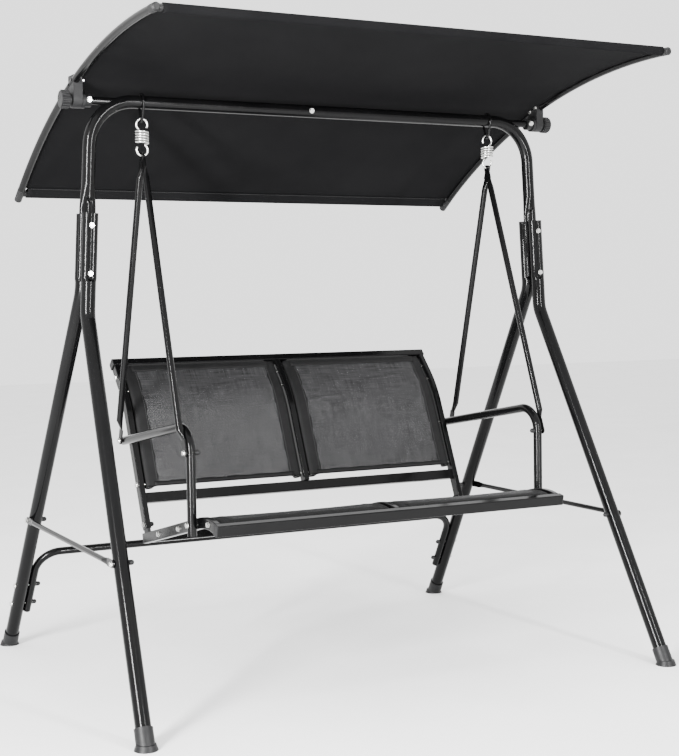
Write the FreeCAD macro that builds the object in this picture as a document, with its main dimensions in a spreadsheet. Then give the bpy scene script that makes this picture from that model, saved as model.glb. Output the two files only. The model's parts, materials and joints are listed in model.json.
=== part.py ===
import FreeCAD, Part
import os
from math import asin, atan2, cos, degrees, pi, radians, sin, tan

Vector = FreeCAD.Vector
Rotation = FreeCAD.Rotation
Placement = FreeCAD.Placement

# A two-person hanging swing seat: an A-frame of bent steel tube, a sling seat
# on two extension springs, and a tilting canopy. Millimetres, +Z up, -Y front.
# The origin is on the ground under the middle of the whole object.

SIZES = {
    # side frames: four legs bolted round the flattened ends of the top bar
    "column_plane_y": -43,
    "bar_height": 1410,
    "bar_radius": 16,
    "bar_half_span": 620,
    "bar_bend": 112,
    "side_lean": 3.0,
    "bar_flat_start": 1212,
    "bar_flat_end": 1158,
    "bar_bottom": 991,
    "bar_flat_wide": 20,
    "bar_flat_thin": 9,
    "bar_joint_x": 0,
    "bar_swage": 90,
    "leg_radius": 17.5,
    "leg_bend": 68,
    "column_top": 1143,
    "crimp_bottom": 990,
    "crimp_end": 982,
    "crimp_wide": 19,
    "crimp_thin": 14,
    "crimp_gap": 0.2,
    "groove_radius": 11,
    "groove_depth": 4.5,
    "groove_bottom": 993,
    "washer_seat": 2.3,
    "column_bolt_high": 1114,
    "column_bolt_low": 1001,
    "front_bend_height": 904,
    "front_foot_x": 694.4,
    "front_foot_y": -489,
    "rear_bend_height": 959,
    "rear_foot_x": 683,
    "rear_foot_y": 610.6,
    "leg_end": 20,
    "wall": 1.5,
    # feet
    "cap_radius": 20.5,
    "cap_length": 46,
    "cap_base_radius": 26,
    "cap_base_height": 13,
    # fasteners
    "bolt_radius": 3.5,
    "hole_radius": 3.8,
    "head_radius": 5.9,
    "head_height": 3.6,
    "washer_radius": 6.4,
    "washer_height": 1.2,
    "cap_nut_radius": 6.0,
    "cap_nut_height": 6.0,
    "seating_gap": 0.4,
    # side braces and rear stretcher
    "brace_radius": 6.4,
    "brace_front_height": 362,
    "brace_rear_height": 372,
    "tab_thick": 3.4,
    "brace_tab_radius": 9,
    "brace_tab_length": 34,
    "stretcher_radius": 10,
    "stretcher_height": 274,
    "stretcher_end_height": 104,
    "stretcher_bend": 62,
    "stretcher_bolt_high": 182,
    "stretcher_bolt_low": 128,
    # canopy mount on each bar corner
    "pivot_height": 1408,
    "stub_radius": 9.5,
    "stub_inner_x": 556,
    "stub_outer_x": 640,
    "hinge_inner_x": 621,
    "hinge_outer_x": 644,
    "hinge_radius": 16,
    "hinge_bolt_x": 628,
    "hinge_disc_radius": 20,
    "hinge_disc": 7,
    "clamp_inner_x": 645,
    "clamp_outer_x": 667,
    "clamp_half_width": 20,
    "clamp_top": 1464,
    "pivot_bolt_radius": 4,
    "pivot_hole_radius": 4.08,
    "knob_inner_x": 669,
    "knob_outer_x": 694,
    "knob_radius": 19.5,
    "knob_lobe_radius": 2.6,
    "knob_lobes": 16,
    # canopy
    "canopy_half_width": 660,
    "canopy_radius": 1765,
    "canopy_centre_y": -510,
    "canopy_centre_height": -241,
    "canopy_front_y": -538,
    "canopy_rear_y": 475,
    "rib_radius": 9.5,
    "cross_tube_radius": 8,
    "canopy_cloth": 2.4,
    "hem_radius": 10.5,
    "corner_radius": 9.8,
    "corner_length": 20,
    "corner_tip": 3.5,
    "corner_tip_radius": 6.5,
    "front_tail": 6,
    "rear_tail": 26,
    # hanger rings and springs
    "hanger_x": 494,
    "ring_wire": 3,
    "ring_gap": 0.4,
    "ring_bottom_radius": 6,
    "swing_height": 1371.5,
    "spring_wire": 2.5,
    "spring_radius": 14.5,
    "spring_length": 88,
    "spring_turns": 4.5,
    # seat hangers and armrests
    "hanger_radius": 8,
    "hanger_tab_radius": 9.5,
    "hanger_tab_length": 30,
    "hanger_gap": 1.0,
    "hanger_hole_radius": 4.6,
    "arm_x": 482,
    "arm_radius": 11,
    "arm_bend": 60,
    "arm_overhang": 13,
    "arm_rear_y": 197.7,
    "arm_rear_height": 583,
    "arm_slope": 9,
    "post_y": -241,
    "post_bottom": 396,
    "arm_bolt_height": 588,
    "post_bolt_height": 422,
    # seat and back frames
    "rail_outer_x": 470,
    "rail_width": 15,
    "rail_depth": 26,
    "rail_corner": 2.5,
    "end_rail_width": 20,
    "top_rail_wall": 1.2,
    "front_rail_wall": 2.2,
    "back_bottom_y": 105.6,
    "back_bottom_height": 366,
    "back_bend_y": 239,
    "back_bend_height": 680,
    "back_bend": 300,
    "back_top_angle": 42,
    "back_top_y": 328,
    "lower_rail_along": 80,
    "seat_slope": 13,
    "seat_rear_y": 117,
    "seat_rear_height": 341.3,
    "seat_crown_y": -293,
    "seat_crown_height": 436,
    "seat_bend": 200,
    "seat_front_y": -362,
    # sling rods and slings
    "rod_radius": 10,
    "rod_gap": 5,
    "sling_thick": 1.2,
}


def vector_between(start, end):
    return (end - start).normalize()


doc = FreeCAD.newDocument("hanging_swing_seat")
sheet = doc.addObject("Spreadsheet::Sheet", "Sizes")
for row, (alias, value) in enumerate(SIZES.items(), start=1):
    sheet.set(f"A{row}", alias)
    sheet.set(f"B{row}", str(value))
    sheet.setAlias(f"B{row}", alias)
doc.recompute()

nodes = []
UP = Vector(0, 0, 1)
ACROSS = Vector(1, 0, 0)
REARWARD = Vector(0, 1, 0)


# ---------------------------------------------------------------- building blocks

def at(x, y, z):
    """A point given from the plane of the columns and the top bar."""
    return Vector(x, sheet.column_plane_y + y, z)


def facing(direction):
    return Rotation(UP, direction)


def node(name, item):
    """Registers a finished sub-part under its own name."""
    item.Label = name
    nodes.append(item)
    return item


def primitive(kind, placement, **sizes):
    """A Part primitive whose sizes follow the sheet."""
    item = doc.addObject("Part::" + kind, kind)
    for name, expression in sizes.items():
        item.setExpression(name, expression)
    item.Placement = placement
    return item


def shape(solid):
    item = doc.addObject("Part::Feature", "Shape")
    item.Shape = solid
    return item


def fuse(*items):
    item = doc.addObject("Part::MultiFuse", "Fuse")
    item.Shapes = list(items)
    return item


def cut(base, *tools):
    item = doc.addObject("Part::Cut", "Cut")
    item.Base = base
    item.Tool = tools[0] if len(tools) == 1 else group(tools)
    return item


def group(items):
    item = doc.addObject("Part::Compound", "Group")
    item.Links = list(items)
    return item


def rod(start, direction, radius, length):
    """A round bar; radius and length are expressions or numbers."""
    placement = Placement(start, facing(direction))
    return primitive("Cylinder", placement, Radius=str(radius), Height=str(length))


def route(points, radius):
    """Straight runs through the points, with a tangent arc at each inner corner."""
    edges = []
    start = points[0]
    for before, corner, after in zip(points, points[1:], points[2:]):
        arriving = vector_between(before, corner)
        leaving = vector_between(corner, after)
        turn = arriving.getAngle(leaving)
        setback = radius * tan(turn / 2)
        first = corner - arriving * setback
        last = corner + leaving * setback
        centre = corner + (leaving - arriving).normalize() * (radius / cos(turn / 2))
        middle = centre + vector_between(centre, corner) * radius
        if (first - start).Length > 0.01:
            edges.append(Part.LineSegment(start, first).toShape())
        edges.append(Part.Arc(first, middle, last).toShape())
        start = last
    if (points[-1] - start).Length > 0.01:
        edges.append(Part.LineSegment(start, points[-1]).toShape())
    return Part.Wire(edges)


def swept(path, section):
    spine = shape(path)
    item = doc.addObject("Part::Sweep", "Sweep")
    item.Sections = [section]
    item.Spine = (spine, [f"Edge{number + 1}" for number in range(len(path.Edges))])
    item.Solid = True
    item.Frenet = False
    return item


def start_of(path):
    first = path.Edges[0]
    return first.valueAt(first.FirstParameter), first.tangentAt(first.FirstParameter)


def round_sweep(path, radius):
    start, tangent = start_of(path)
    section = primitive("Circle", Placement(start, facing(tangent)), Radius=str(radius))
    return swept(path, section)


def tube(path, radius, wall="Sizes.wall"):
    return cut(round_sweep(path, radius), round_sweep(path, f"{radius} - {wall}"))


def box_section(path, across, wide, deep, corner):
    """A rectangle with round corners, square to the start of the path."""
    start, tangent = start_of(path)
    other = tangent.cross(across).normalize()
    side = wide / 2 - corner
    rise = deep / 2 - corner
    edges = []
    ends = []
    for turn, (sx, sy) in enumerate(((1, 1), (-1, 1), (-1, -1), (1, -1))):
        centre = start + across * (sx * side) + other * (sy * rise)
        angles = [pi / 2 * turn + pi / 4 * step for step in range(3)]
        ends.append([centre + (across * cos(a) + other * sin(a)) * corner for a in angles])
    for here, there in zip(ends, ends[1:] + ends[:1]):
        edges.append(Part.Arc(*here).toShape())
        edges.append(Part.LineSegment(here[2], there[0]).toShape())
    return Part.Wire(edges)


def rail(path, across, wide, deep, wall=None):
    """A rectangular tube, hollow when a wall is given."""
    outside = swept(path, shape(box_section(path, across, wide, deep, sheet.rail_corner)))
    if wall is None:
        return outside
    inner = box_section(path, across, wide - 2 * wall, deep - 2 * wall, sheet.rail_corner - wall / 2)
    return cut(outside, swept(path, shape(inner)))


def loft(sections):
    item = doc.addObject("Part::Loft", "Loft")
    item.Sections = sections
    item.Solid = True
    item.Ruled = True
    return item


def tilted(direction):
    """Turns +Z to a direction in the plane of X and Z."""
    return Rotation(Vector(0, 1, 0), degrees(atan2(direction.x, direction.z)))


def oval(point, direction, wide, thin):
    """An ellipse square to direction, its long axis nearest to X."""
    return primitive("Ellipse", Placement(point, tilted(direction)), MajorRadius=wide, MinorRadius=thin)


def ring(point, direction, radius):
    """A circle square to direction, in step with oval."""
    return primitive("Circle", Placement(point, tilted(direction)), Radius=radius)


def bolt(start, direction, length):
    """Hexagon bolt: the washer's face is at start and the shank runs along direction."""
    turned = facing(direction)
    head_lift = "Sizes.head_height + Sizes.washer_height"
    back = sheet.head_height + sheet.washer_height
    head = primitive("Prism", Placement(start - direction * back, turned),
                     Circumradius="Sizes.head_radius", Height=head_lift)
    head.Polygon = 6
    collar = rod(start - direction * sheet.washer_height, direction,
                 "Sizes.washer_radius", "Sizes.washer_height")
    shank = rod(start - direction * 1, direction, "Sizes.bolt_radius", length + 1)
    return fuse(head, collar, shank)


def cap_nut(start, direction):
    """Domed nut whose flat face is at start, bored for the bolt's end."""
    body = rod(start, direction, "Sizes.cap_nut_radius", "Sizes.cap_nut_height")
    crown = primitive("Sphere", Placement(start + direction * sheet.cap_nut_height, facing(direction)),
                      Radius="Sizes.cap_nut_radius", Angle1="0")
    crown.Angle2 = 90
    bore = rod(start - direction, direction, "Sizes.bolt_radius + 0.05", "Sizes.cap_nut_height + 3")
    return cut(fuse(body, crown), bore)


def hole(point, direction, length, radius="Sizes.hole_radius"):
    """A drill centred on the point."""
    return rod(point - direction * (length / 2), direction, radius, length)


def size_of(expression):
    return float(getattr(sheet, expression.split(".")[1]))


# ---------------------------------------------------------------- the side frames

def column_x(height):
    """The columns lean outwards towards the ground."""
    return sheet.bar_half_span + tan(radians(sheet.side_lean)) * (sheet.bar_height - height)


def on_column(side, offset, height):
    return at(side * column_x(height), offset, height)


def column_direction(side):
    lean = radians(sheet.side_lean)
    return Vector(-side * sin(lean), 0, cos(lean))


LEG_OFFSET = sheet.bar_flat_thin + sheet.crimp_gap + sheet.crimp_thin

LEGS = {
    "front": (-1, sheet.front_bend_height, sheet.front_foot_x, sheet.front_foot_y),
    "rear": (1, sheet.rear_bend_height, sheet.rear_foot_x, sheet.rear_foot_y),
}


def leg_line(which, side):
    """The straight lower part of a leg: its bend point and its point on the ground."""
    facing_side, bend_height, foot_x, foot_y = LEGS[which]
    bend = on_column(side, facing_side * LEG_OFFSET, bend_height)
    return bend, at(side * foot_x, foot_y, 0)


def on_leg(which, side, height):
    bend, foot = leg_line(which, side)
    return foot + (bend - foot) * (height / bend.z)


def column_holes(side):
    """Drills for the two bolts through each column."""
    heights = (sheet.column_bolt_high, sheet.column_bolt_low)
    return [hole(on_column(side, 0, height), REARWARD, 120) for height in heights]


def leg_layer(which, side, shrink):
    """Outside (shrink 0) or bore (shrink the wall) of one leg."""
    offset = LEGS[which][0] * LEG_OFFSET
    bend, foot = leg_line(which, side)
    upward = column_direction(side)
    thinner = f"- {shrink}"
    crimp = [
        oval(on_column(side, offset, sheet.column_top), upward,
             f"Sizes.crimp_wide {thinner}", f"Sizes.crimp_thin {thinner} * 3.5"),
        oval(on_column(side, offset, sheet.crimp_bottom), upward,
             f"Sizes.crimp_wide {thinner}", f"Sizes.crimp_thin {thinner} * 3.5"),
        ring(on_column(side, offset, sheet.crimp_end), upward, f"Sizes.leg_radius {thinner}"),
    ]
    lower_end = foot + vector_between(foot, bend) * sheet.leg_end
    path = route([on_column(side, offset, sheet.crimp_end), bend, lower_end], sheet.leg_bend)
    return fuse(loft(crimp), round_sweep(path, f"Sizes.leg_radius {thinner}"))


def column_groove(side, facing_side):
    """The pressed groove on the outer face of a crimped leg top, for the bolt heads."""
    surface = facing_side * (LEG_OFFSET + sheet.crimp_thin - sheet.groove_depth + sheet.groove_radius)
    bottom = on_column(side, surface, sheet.groove_bottom)
    length = sheet.column_top - sheet.groove_bottom + 20
    tool = rod(bottom, column_direction(side), "Sizes.groove_radius", length)
    end = primitive("Sphere", Placement(bottom, Rotation()), Radius="Sizes.groove_radius")
    return fuse(tool, end)


def leg(which, side):
    solid = cut(leg_layer(which, side, "0"), leg_layer(which, side, "Sizes.wall"))
    groove = column_groove(side, LEGS[which][0])
    tools = column_holes(side) + [groove]
    brace_height = sheet.brace_front_height if which == "front" else sheet.brace_rear_height
    tools.append(hole(on_leg(which, side, brace_height), ACROSS, 60))
    if which == "rear":
        tools += [hole(point, ACROSS, 60) for point in stretcher_bolt_points(side)]
    return cut(solid, *tools)


def foot_cap(which, side):
    """Plastic foot: a sleeve on the leg's end and a flared flat base."""
    bend, foot = leg_line(which, side)
    along = vector_between(foot, bend)
    base = primitive("Cone", Placement(foot, Rotation()), Radius1="Sizes.cap_base_radius",
                     Radius2="Sizes.cap_radius + 1", Height="Sizes.cap_base_height")
    sleeve = rod(foot, along, "Sizes.cap_radius", "Sizes.cap_length")
    bore = rod(foot + along * (sheet.leg_end - 0.3), along, "Sizes.leg_radius + 0.2", "Sizes.cap_length")
    below = primitive("Box", Placement(foot + Vector(-60, -60, -60), Rotation()),
                      Length="120", Width="120", Height="60")
    return cut(fuse(base, sleeve), bore, below)


def stretcher_bolt_points(side):
    heights = (sheet.stretcher_bolt_high, sheet.stretcher_bolt_low)
    return [on_leg("rear", side, height) for height in heights]


def make_side_frames():
    for side, hand in ((-1, "left"), (1, "right")):
        for which in LEGS:
            node(f"{which}_leg_{hand}", leg(which, side))
    node("foot_caps", group(foot_cap(which, side) for side in (-1, 1) for which in LEGS))


# ---------------------------------------------------------------- the top bar

def bar_layer(side, inner_x, radius, shrink):
    """One half of the top bar: across, round the corner and down to its flat end."""
    upward = column_direction(side)
    corner = at(side * sheet.bar_half_span, 0, sheet.bar_height)
    low = on_column(side, 0, sheet.bar_flat_start)
    path = route([at(side * inner_x, 0, sheet.bar_height), corner, low], sheet.bar_bend)
    flat = [
        ring(low, upward, radius),
        oval(on_column(side, 0, sheet.bar_flat_end), upward,
             f"Sizes.bar_flat_wide - {shrink}", f"Sizes.bar_flat_thin - {shrink} * 3.2"),
        oval(on_column(side, 0, sheet.bar_bottom), upward,
             f"Sizes.bar_flat_wide - {shrink}", f"Sizes.bar_flat_thin - {shrink} * 3.2"),
    ]
    return fuse(round_sweep(path, radius), loft(flat))


def bar_dents(side):
    """The pressed hollows on the front and rear of the bar's flat end."""
    dents = []
    radius = 16
    depth = 3
    for facing_side in (-1, 1):
        offset = facing_side * (sheet.bar_flat_thin - depth + radius)
        bottom = on_column(side, offset, sheet.bar_bottom - 20)
        length = sheet.bar_flat_end - sheet.bar_bottom + 30
        dents.append(rod(bottom, column_direction(side), radius, length))
        top = bottom + column_direction(side) * length
        dents.append(primitive("Sphere", Placement(top, Rotation()), Radius=str(radius)))
    return dents


def make_top_bar():
    joint = at(sheet.bar_joint_x, 0, sheet.bar_height)
    bolt_point = joint - ACROSS * (sheet.bar_swage / 2)
    bolt_hole = hole(bolt_point, REARWARD, 60)
    left = cut(bar_layer(-1, -sheet.bar_joint_x, "Sizes.bar_radius", "0"),
               bar_layer(-1, -sheet.bar_joint_x, "Sizes.bar_radius - Sizes.wall", "Sizes.wall"))
    node("top_bar_left", cut(left, bolt_hole, *column_holes(-1), *bar_dents(-1)))

    right = cut(bar_layer(1, sheet.bar_joint_x + 0.2, "Sizes.bar_radius", "0"),
                bar_layer(1, sheet.bar_joint_x + 0.2, "Sizes.bar_radius - Sizes.wall", "Sizes.wall"))
    swage_start = joint - ACROSS * sheet.bar_swage
    swage_length = "Sizes.bar_swage + 12"
    spigot = cut(rod(swage_start, ACROSS, "Sizes.bar_radius - Sizes.wall - 0.1", swage_length),
                 rod(swage_start, ACROSS, "Sizes.bar_radius - 2 * Sizes.wall - 0.1", swage_length))
    shoulder_start = joint + ACROSS * 0.3
    shoulder = cut(rod(shoulder_start, ACROSS, "Sizes.bar_radius - 0.1", "8"),
                   rod(shoulder_start, ACROSS, "Sizes.bar_radius - 2 * Sizes.wall", "8"))
    node("top_bar_right", cut(fuse(right, spigot, shoulder), bolt_hole, *column_holes(1), *bar_dents(1)))

    head = bolt_point - REARWARD * sheet.bar_radius
    through = 2 * sheet.bar_radius
    node("top_bar_bolt", group([bolt(head, REARWARD, through + 7)]))
    node("top_bar_nut", group([cap_nut(head + REARWARD * through, REARWARD)]))


def make_column_fasteners():
    """Two long bolts squeeze each pair of legs on the bar's flat end."""
    reach = LEG_OFFSET + sheet.crimp_thin - sheet.groove_depth + sheet.washer_seat
    bolts = []
    nuts = []
    for side in (-1, 1):
        for height in (sheet.column_bolt_high, sheet.column_bolt_low):
            bolts.append(bolt(on_column(side, -reach, height), REARWARD, 2 * reach + 6))
            nuts.append(cap_nut(on_column(side, reach, height), REARWARD))
    node("column_bolts", group(bolts))
    node("column_nuts", group(nuts))


# ---------------------------------------------------------------- braces and stretcher

def brace_end(which, side):
    """Where the brace's tab lies, outside the leg."""
    height = sheet.brace_front_height if which == "front" else sheet.brace_rear_height
    outside = sheet.leg_radius + 0.4 + sheet.tab_thick / 2
    return on_leg(which, side, height) + ACROSS * (side * outside)


def flat_ended_tube(first, last, radius, tab_radius, tab_length, blend, aside=0):
    """A straight tube with both ends flattened square to X, its first tab set aside from its axis."""
    pieces = []
    shift = ACROSS * aside
    along = vector_between(first - shift, last)
    for tip, inward, moved in ((first, along, shift), (last, along * -1, Vector())):
        root = tip + inward * tab_length
        pieces.append(flat_end(root, tip, tab_length, tab_radius))
        wide = primitive("Ellipse", Placement(root - inward * 0.5, lying(inward)),
                         MajorRadius=f"{tab_radius} - 0.1", MinorRadius="Sizes.tab_thick / 2 - 0.05")
        full = primitive("Circle", Placement(root - moved + inward * blend, lying(inward)), Radius=radius)
        pieces.append(loft([wide, full]))
    start = first - shift + along * (tab_length + blend)
    end = last - along * (tab_length + blend)
    length = (end - start).Length
    outside = rod(start, along, radius, length)
    hollow = cut(outside, rod(start + along * 2, along, f"{radius} - 1.2", length - 4))
    return fuse(hollow, *pieces)


def lying(direction):
    """Turns +Z to direction and local X upright-ish, so that local Y is across."""
    z_axis = Vector(direction).normalize()
    y_axis = ACROSS - z_axis * ACROSS.dot(z_axis)
    y_axis.normalize()
    x_axis = y_axis.cross(z_axis)
    return Rotation(x_axis, y_axis, z_axis, "ZXY")


def flat_end(root, tip, reach, radius):
    """A plate from root to tip with a round nose, square to X."""
    along = vector_between(root, tip)
    turned = lying(along)
    half = Vector(size_of(radius), sheet.tab_thick / 2, 0)
    plate = primitive("Box", Placement(tip - along * reach - turned.multVec(half), turned),
                      Length=f"2 * {radius}", Width="Sizes.tab_thick", Height=str(reach))
    normal = turned.multVec(Vector(0, 1, 0))
    nose = rod(tip - normal * (sheet.tab_thick / 2), normal, radius, "Sizes.tab_thick")
    return fuse(plate, nose)


def make_braces():
    for side, hand in ((-1, "left"), (1, "right")):
        front, rear = brace_end("front", side), brace_end("rear", side)
        solid = flat_ended_tube(front, rear, "Sizes.brace_radius", "Sizes.brace_tab_radius",
                                sheet.brace_tab_length, 24)
        node(f"side_brace_{hand}", cut(solid, hole(front, ACROSS, 20), hole(rear, ACROSS, 20)))


def make_stretcher():
    points = []
    for side, heights in ((-1, (sheet.stretcher_end_height, sheet.stretcher_height)),
                          (1, (sheet.stretcher_height, sheet.stretcher_end_height))):
        for height in heights:
            inward = ACROSS * (side * (sheet.leg_radius + sheet.stretcher_radius + 0.3))
            points.append(on_leg("rear", side, height) - inward)
    solid = tube(route(points, sheet.stretcher_bend), "Sizes.stretcher_radius")
    holes = [hole(point, ACROSS, 140) for side in (-1, 1) for point in stretcher_bolt_points(side)]
    node("rear_stretcher", cut(solid, *holes))


def make_frame_fasteners():
    """Bolts from outside, domed nuts inside, at the braces and the stretcher."""
    bolts = []
    nuts = []
    for side in (-1, 1):
        inward = ACROSS * -side
        for which in LEGS:
            leg_centre = brace_end(which, side) + inward * (sheet.leg_radius + 0.4 + sheet.tab_thick / 2)
            head = brace_end(which, side) - inward * (sheet.tab_thick / 2 + sheet.seating_gap)
            inside = leg_centre + inward * (sheet.leg_radius + sheet.seating_gap)
            bolts.append(bolt(head, inward, (inside - head).Length + 7))
            nuts.append(cap_nut(inside, inward))
        for point in stretcher_bolt_points(side):
            head = point - inward * (sheet.leg_radius + sheet.seating_gap)
            reach = sheet.leg_radius + 2 * sheet.stretcher_radius + 0.3 + sheet.seating_gap
            inside = point + inward * reach
            bolts.append(bolt(head, inward, (inside - head).Length + 7))
            nuts.append(cap_nut(inside, inward))
    node("frame_bolts", group(bolts))
    node("frame_cap_nuts", group(nuts))


# ---------------------------------------------------------------- canopy mounts and knobs

def pivot(side, x):
    return at(side * x, 0, sheet.pivot_height)


def arc_angle(y):
    """Angle from straight up, towards the rear, of a point on the canopy's arc."""
    return asin((y - sheet.canopy_centre_y) / sheet.canopy_radius)


def arc_point(x, angle, radius=None):
    reach = sheet.canopy_radius if radius is None else radius
    centre = at(x, sheet.canopy_centre_y, sheet.canopy_centre_height)
    return centre + Vector(0, sin(angle), cos(angle)) * reach


def make_canopy_mounts():
    """Stub tubes on the bar's corners, hinge bases bolted to them, and pivot bolts."""
    bases = []
    base_bolts = []
    pivot_bolts = []
    for side, hand in ((-1, "left"), (1, "right")):
        outward = ACROSS * side
        inner = pivot(side, sheet.stub_inner_x)
        screw_point = pivot(side, sheet.hinge_bolt_x)
        screw = hole(screw_point, REARWARD, 60)
        length = sheet.stub_outer_x - sheet.stub_inner_x
        stub = cut(rod(inner, outward, "Sizes.stub_radius", length),
                   rod(inner, outward, "Sizes.stub_radius - Sizes.wall", length),
                   bar_layer(side, -sheet.bar_joint_x, "Sizes.bar_radius", "0"), screw)
        node(f"canopy_stub_{hand}", stub)

        start = pivot(side, sheet.hinge_inner_x)
        end = sheet.hinge_outer_x
        body = rod(start, outward, "Sizes.hinge_radius", end - sheet.hinge_inner_x)
        disc_start = pivot(side, end - sheet.hinge_disc)
        disc = rod(disc_start, outward, "Sizes.hinge_disc_radius", "Sizes.hinge_disc")
        bore = rod(start, outward, "Sizes.stub_radius + 0.1", sheet.stub_outer_x - sheet.hinge_inner_x + 0.1)
        through = rod(start, outward, "Sizes.pivot_hole_radius", 60)
        bases.append(cut(fuse(body, disc), bore, through, screw))
        head = screw_point - REARWARD * sheet.hinge_radius
        base_bolts.append(bolt(head, REARWARD, 2 * sheet.hinge_radius - 3))

        inside_stub = pivot(side, sheet.stub_outer_x)
        pin_length = sheet.knob_outer_x - sheet.stub_outer_x - 9
        pin = rod(inside_stub, outward, "Sizes.pivot_bolt_radius", pin_length)
        square = rod(pivot(side, sheet.stub_outer_x - 5), outward, "Sizes.stub_radius - Sizes.wall - 0.3", 5)
        pivot_bolts.append(fuse(pin, square))
    node("hinge_bases", group(bases))
    node("hinge_base_bolts", group(base_bolts))
    node("pivot_bolts", group(pivot_bolts))


def knob(side):
    """Lobed hand knob, bored for the end of the pivot bolt."""
    outward = ACROSS * side
    start = pivot(side, sheet.knob_inner_x)
    length = "Sizes.knob_outer_x - Sizes.knob_inner_x"
    neck = rod(start, outward, "Sizes.knob_radius - 5", length)
    body = rod(pivot(side, sheet.knob_inner_x + 4), outward, "Sizes.knob_radius", f"{length} - 4")
    lobes = []
    for number in range(sheet.knob_lobes):
        angle = 2 * pi * number / sheet.knob_lobes
        offset = Vector(0, cos(angle), sin(angle)) * sheet.knob_radius
        lobe_start = pivot(side, sheet.knob_inner_x + 6) + offset
        lobes.append(rod(lobe_start, outward, "Sizes.knob_lobe_radius", f"{length} - 8"))
    bore = rod(start - outward, outward, "Sizes.pivot_hole_radius", f"{length} - 7")
    return cut(fuse(neck, body, *lobes), bore)


# ---------------------------------------------------------------- the canopy

def rib_torus(side, radius):
    """The part of a ring about X that a rib follows, between the two corner joints."""
    trim = degrees(sheet.corner_length / sheet.canopy_radius)
    front = degrees(arc_angle(sheet.canopy_front_y)) + trim
    rear = degrees(arc_angle(sheet.canopy_rear_y)) - trim
    centre = at(side * sheet.canopy_half_width, sheet.canopy_centre_y, sheet.canopy_centre_height)
    # The ring is drawn about local Z from local X; local X is turned to the rib's front end.
    out = Vector(0, sin(radians(front)), cos(radians(front)))
    turned = Rotation(out, ACROSS.cross(out) * -1, ACROSS * -1, "ZXY")
    ring = primitive("Torus", Placement(centre, turned), Radius1="Sizes.canopy_radius", Radius2=str(radius))
    ring.Angle3 = rear - front
    return ring


def make_canopy():
    half = sheet.canopy_half_width
    angle_front = arc_angle(sheet.canopy_front_y)
    angle_rear = arc_angle(sheet.canopy_rear_y)
    screw_angles = [arc_angle(y) for y in (-13, 13)]

    for side, hand in ((-1, "left"), (1, "right")):
        screws = [hole(arc_point(side * half, angle), ACROSS, 60) for angle in screw_angles]
        bore = rib_torus(side, "Sizes.rib_radius - Sizes.wall")
        rib = cut(rib_torus(side, "Sizes.rib_radius"), bore, *screws)
        node(f"canopy_rib_{hand}", rib)

    clamps = []
    clamp_bolts = []
    for side in (-1, 1):
        outward = ACROSS * side
        start = pivot(side, sheet.clamp_inner_x)
        width = sheet.clamp_outer_x - sheet.clamp_inner_x
        disc = rod(start, outward, "Sizes.hinge_disc_radius", width)
        low_x = min(side * sheet.clamp_inner_x, side * sheet.clamp_outer_x)
        block_start = at(low_x, -sheet.clamp_half_width, sheet.pivot_height)
        block = primitive("Box", Placement(block_start, Rotation()),
                          Length=str(width), Width="2 * Sizes.clamp_half_width",
                          Height="Sizes.clamp_top - Sizes.pivot_height")
        through = rod(start, outward, "Sizes.pivot_hole_radius", width)
        screws = [hole(arc_point(side * half, angle), ACROSS, 60) for angle in screw_angles]
        clamps.append(cut(fuse(disc, block), through, rib_torus(side, "Sizes.rib_radius + 0.1"), *screws))
        for angle in screw_angles:
            centre = arc_point(side * half, angle)
            face = Vector(side * sheet.clamp_inner_x, centre.y, centre.z)
            clamp_bolts.append(bolt(face, outward, width - 3))
    node("rib_clamps", group(clamps))
    node("clamp_bolts", group(clamp_bolts))

    inner = half - sheet.corner_length
    tubes = []
    for angle in (angle_front, angle_rear):
        start = arc_point(-inner, angle)
        bar = rod(start, ACROSS, "Sizes.cross_tube_radius", 2 * inner)
        tubes.append(cut(bar, rod(start, ACROSS, "Sizes.cross_tube_radius - Sizes.wall", 2 * inner)))
    node("canopy_cross_tubes", group(tubes))

    joints = []
    for side in (-1, 1):
        for angle, inward, tail in ((angle_front, 1, "front_tail"), (angle_rear, -1, "rear_tail")):
            corner = arc_point(side * half, angle)
            along = Vector(0, cos(angle), -sin(angle)) * inward
            end = corner - along * getattr(sheet, tail)
            reach = f"Sizes.corner_length + Sizes.{tail} - 0.6"
            to_rib = rod(end, along, "Sizes.corner_radius", reach)
            tip = primitive("Cone", Placement(end, facing(along * -1)), Radius1="Sizes.corner_radius",
                            Radius2="Sizes.corner_tip_radius", Height="Sizes.corner_tip")
            to_tube = rod(corner, ACROSS * -side, "Sizes.cross_tube_radius", "Sizes.corner_length - 0.4")
            joints.append(fuse(to_rib, tip, to_tube))
    node("canopy_corners", group(joints))
    make_canopy_cloth(inner, angle_front, angle_rear)


def make_canopy_cloth(inner, angle_front, angle_rear):
    """One curved sheet between the ribs, hemmed round the two cross tubes."""
    thick = sheet.canopy_cloth / 2
    half_sheet = sheet.clamp_inner_x - 0.5
    trim = (sheet.corner_length + 6) / sheet.canopy_radius
    first, last = angle_front + trim, angle_rear - trim
    cloth = [curved_sheet(half_sheet, first, last, thick)]
    cloth.append(curved_sheet(inner - 4, angle_front, angle_rear, thick))
    for angle in (angle_front, angle_rear):
        cloth.append(rod(arc_point(4 - inner, angle), ACROSS, "Sizes.hem_radius", 2 * (inner - 4)))
    bores = [rod(arc_point(-inner, angle), ACROSS, "Sizes.cross_tube_radius + 0.15", 2 * inner)
             for angle in (angle_front, angle_rear)]
    head_places = [arc_point(side * sheet.clamp_inner_x, arc_angle(y)) for side in (-1, 1) for y in (-13, 13)]
    heads = [hole(place, ACROSS, 14, "Sizes.washer_radius + 0.5") for place in head_places]
    node("canopy_cloth", cut(fuse(*cloth), *bores, *heads))


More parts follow.
